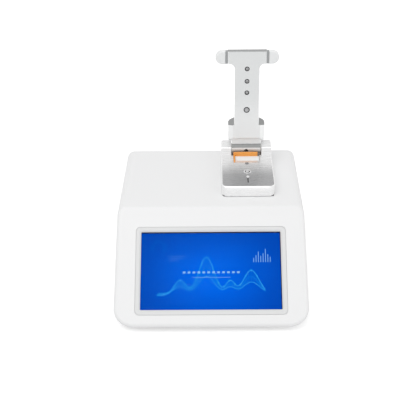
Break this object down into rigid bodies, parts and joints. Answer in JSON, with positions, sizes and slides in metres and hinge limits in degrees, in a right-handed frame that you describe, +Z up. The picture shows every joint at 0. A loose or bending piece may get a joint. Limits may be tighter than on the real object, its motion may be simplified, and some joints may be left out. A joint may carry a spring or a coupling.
{
  "type": "microvolume spectrophotometer",
  "caption": "Bench instrument with a sloping touch screen, a metal measuring plinth with a lifting light pedestal, and a hinged sample arm that swings down over the drop.",
  "frame": {"origin": "centre of the footprint, on the surface that the feet stand on", "axes": "+Z up, the screen faces -Y, +X is to the right for someone who looks at the screen"},
  "size_m": [0.212, 0.236, 0.2393],
  "materials": {
    "housing_white": "satin moulded shell",
    "base_grey": "fine moulded texture",
    "rubber_black": "soft matte",
    "screw_steel": "plated",
    "bezel_grey": "satin",
    "cover_glass": "clear, anti-glare",
    "display_blue": "lit screen",
    "sheet_steel": "zinc plated",
    "board_green": "solder mask",
    "satin_aluminium": "fine blasted and anodised",
    "bush_bronze": "machined",
    "polished_steel": "polished",
    "washer_nylon": "natural",
    "guard_orange": "translucent orange",
    "grip_white": "soft satin",
    "machined_aluminium": "machined",
    "motor_can": "plated can",
    "module_black": "black anodised",
    "socket_metal": "nickel plated",
    "guide_jacket": "black jacket",
    "panel_grey": "powder coated",
    "switch_black": "glossy black moulding"
  },
  "bodies": {
    "base": {"top_shell": "housing_white", "base_plate": "base_grey", "rubber_feet": "rubber_black", "plinth_gasket": "rubber_black", "case_screws": "screw_steel", "display_screws": "screw_steel", "plinth_bolts": "screw_steel", "panel_screws": "screw_steel", "rest_screw": "screw_steel", "display_bezel": "bezel_grey", "touch_glass": "cover_glass", "lcd_module": "display_blue", "display_bracket": "sheet_steel", "mount_plate": "sheet_steel", "driver_board": "board_green", "main_board": "board_green", "power_board": "board_green", "io_board": "board_green", "detector_board": "board_green", "plinth": "satin_aluminium", "pedestal_bush": "bush_bronze", "hinge_bushes": "bush_bronze", "board_standoffs": "bush_bronze", "guide_rods": "polished_steel", "cable_guard": "guard_orange", "lift_base": "machined_aluminium", "lift_pillars": "machined_aluminium", "lift_motor": "motor_can", "spectrometer_case": "module_black", "spectrometer_lid": "module_black", "lamp_case": "module_black", "lamp_lid": "module_black", "fibre_connectors": "socket_metal", "usb_a_sockets": "socket_metal", "usb_b_socket": "socket_metal", "lower_light_guide": "guide_jacket", "lamp_light_guide": "guide_jacket", "rear_panel": "panel_grey", "switch_body": "switch_black", "dc_inlet": "switch_black"},
    "arm": {"arm_body": "satin_aluminium", "arm_cover": "satin_aluminium", "arm_hood": "satin_aluminium", "arm_screws": "screw_steel", "arm_magnet": "polished_steel", "upper_pedestal": "polished_steel", "upper_light_guide": "guide_jacket", "grip_cap_left": "grip_white", "grip_cap_right": "grip_white", "grip_gaskets": "rubber_black", "hinge_pins": "polished_steel", "hinge_washers": "washer_nylon"},
    "lift": {"lower_pedestal": "polished_steel", "lift_carriage": "machined_aluminium", "lift_nut": "bush_bronze"},
    "screw": {"lead_screw": "polished_steel"},
    "rocker": {"switch_rocker": "switch_black"}
  },
  "joints": [
    {"name": "arm_hinge", "type": "hinge", "parent": "base", "child": "arm", "pos_m": [0.043, 0.08661, 0.1175], "axis": [1, 0, 0], "range_deg": [0, 93]},
    {"name": "lead_screw_spin", "type": "hinge", "parent": "base", "child": "screw", "pos_m": [0.043, 0.01611, 0.06], "axis": [0, 0, 1], "range_deg": [0, 360]},
    {"name": "pedestal_lift", "type": "slide", "parent": "base", "child": "lift", "axis": [0, 0, 1], "range_m": [-0.001, 0]},
    {"name": "power_switch", "type": "hinge", "parent": "base", "child": "rocker", "pos_m": [-0.042, 0.1125, 0.029], "axis": [1, 0, 0], "range_deg": [0, 14]}
  ],
  "couplings": [
    {"joint": "lead_screw_spin", "follows": "pedestal_lift", "rad_per_m": -6283.2}
  ]
}
